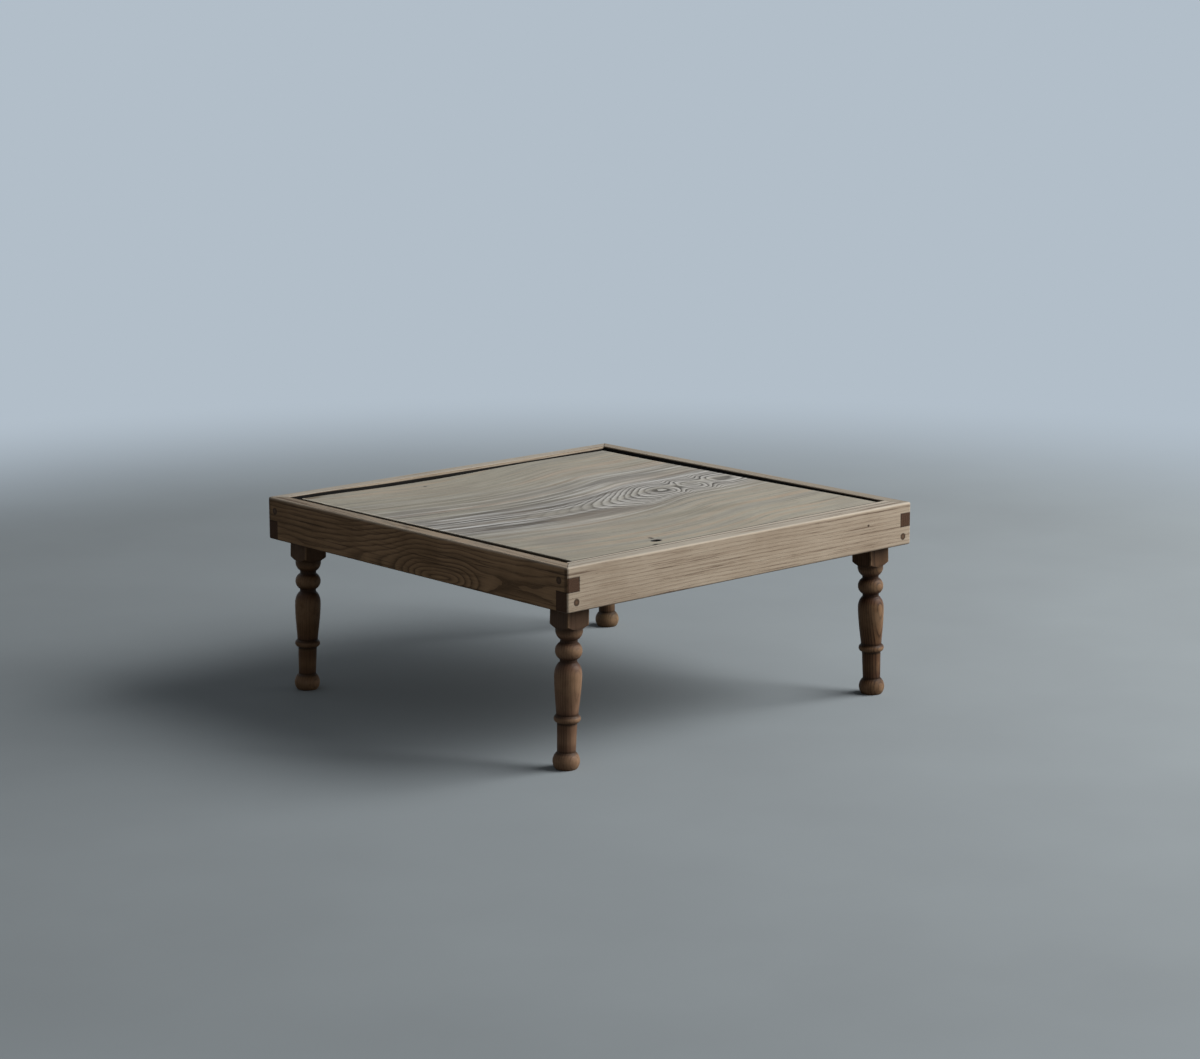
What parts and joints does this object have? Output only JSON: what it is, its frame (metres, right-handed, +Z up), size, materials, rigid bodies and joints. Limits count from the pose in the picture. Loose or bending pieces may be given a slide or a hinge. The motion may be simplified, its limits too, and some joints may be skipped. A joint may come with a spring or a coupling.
{
  "type": "folding low table",
  "caption": "Low square tea table: finger-jointed, pegged frame round a loose-set wooden board, on turned legs that fold in pairs under the frame and are held open by drop-in stays.",
  "frame": {"origin": "on the floor under the middle of the table", "axes": "+X along the grain of the board, +Y from the front rail to the back rail, +Z up; legs open"},
  "size_m": [0.7, 0.7, 0.303],
  "materials": {
    "rail_wood": "dry, worn, unvarnished ring-porous wood",
    "board_wood": "dry, scrubbed and greyed wood",
    "leg_wood": "darker, old stain worn thin, dull",
    "inner_wood": "sawn and planed, unfinished",
    "peg_wood": "dark end grain",
    "nail_iron": "dull black iron"
  },
  "bodies": {
    "frame": {"front_rail": "rail_wood", "back_rail": "rail_wood", "left_rail": "rail_wood", "right_rail": "rail_wood", "top_board": "board_wood", "front_strip": "rail_wood", "front_ledger": "inner_wood", "back_ledger": "inner_wood", "left_ledger": "inner_wood", "right_ledger": "inner_wood", "centre_bearer": "inner_wood", "corner_pegs": "peg_wood", "ledger_nails": "nail_iron", "board_nails": "nail_iron", "leg_pivots": "peg_wood", "left_stay_pin": "nail_iron", "right_stay_pin": "nail_iron", "left_stay_cheeks": "inner_wood", "right_stay_cheeks": "inner_wood"},
    "left_legs": {"front_left_leg": "leg_wood", "back_left_leg": "leg_wood", "left_crossbar": "inner_wood", "left_crossbar_pegs": "peg_wood"},
    "left_stay": {"left_stay": "inner_wood"},
    "right_legs": {"front_right_leg": "leg_wood", "back_right_leg": "leg_wood", "right_crossbar": "inner_wood", "right_crossbar_pegs": "peg_wood"},
    "right_stay": {"right_stay": "inner_wood"}
  },
  "joints": [
    {"name": "left_legs_fold", "type": "hinge", "parent": "frame", "child": "left_legs", "pos_m": [-0.30603, 0, 0.257], "axis": [0, -1, 0], "range_deg": [0, 92]},
    {"name": "right_legs_fold", "type": "hinge", "parent": "frame", "child": "right_legs", "pos_m": [0.30603, 0, 0.257], "axis": [0, 1, 0], "range_deg": [0, 92]},
    {"name": "left_stay_lift", "type": "hinge", "parent": "frame", "child": "left_stay", "pos_m": [-0.027, 0, 0.2815], "axis": [0, 1, 0], "range_deg": [0, 4.54]},
    {"name": "right_stay_lift", "type": "hinge", "parent": "frame", "child": "right_stay", "pos_m": [0.027, 0, 0.2815], "axis": [0, -1, 0], "range_deg": [0, 4.54]}
  ],
  "couplings": [
    {"joint": "left_stay_lift", "follows": "left_legs_fold", "ratio": 0.049297},
    {"joint": "right_stay_lift", "follows": "right_legs_fold", "ratio": 0.049297}
  ]
}
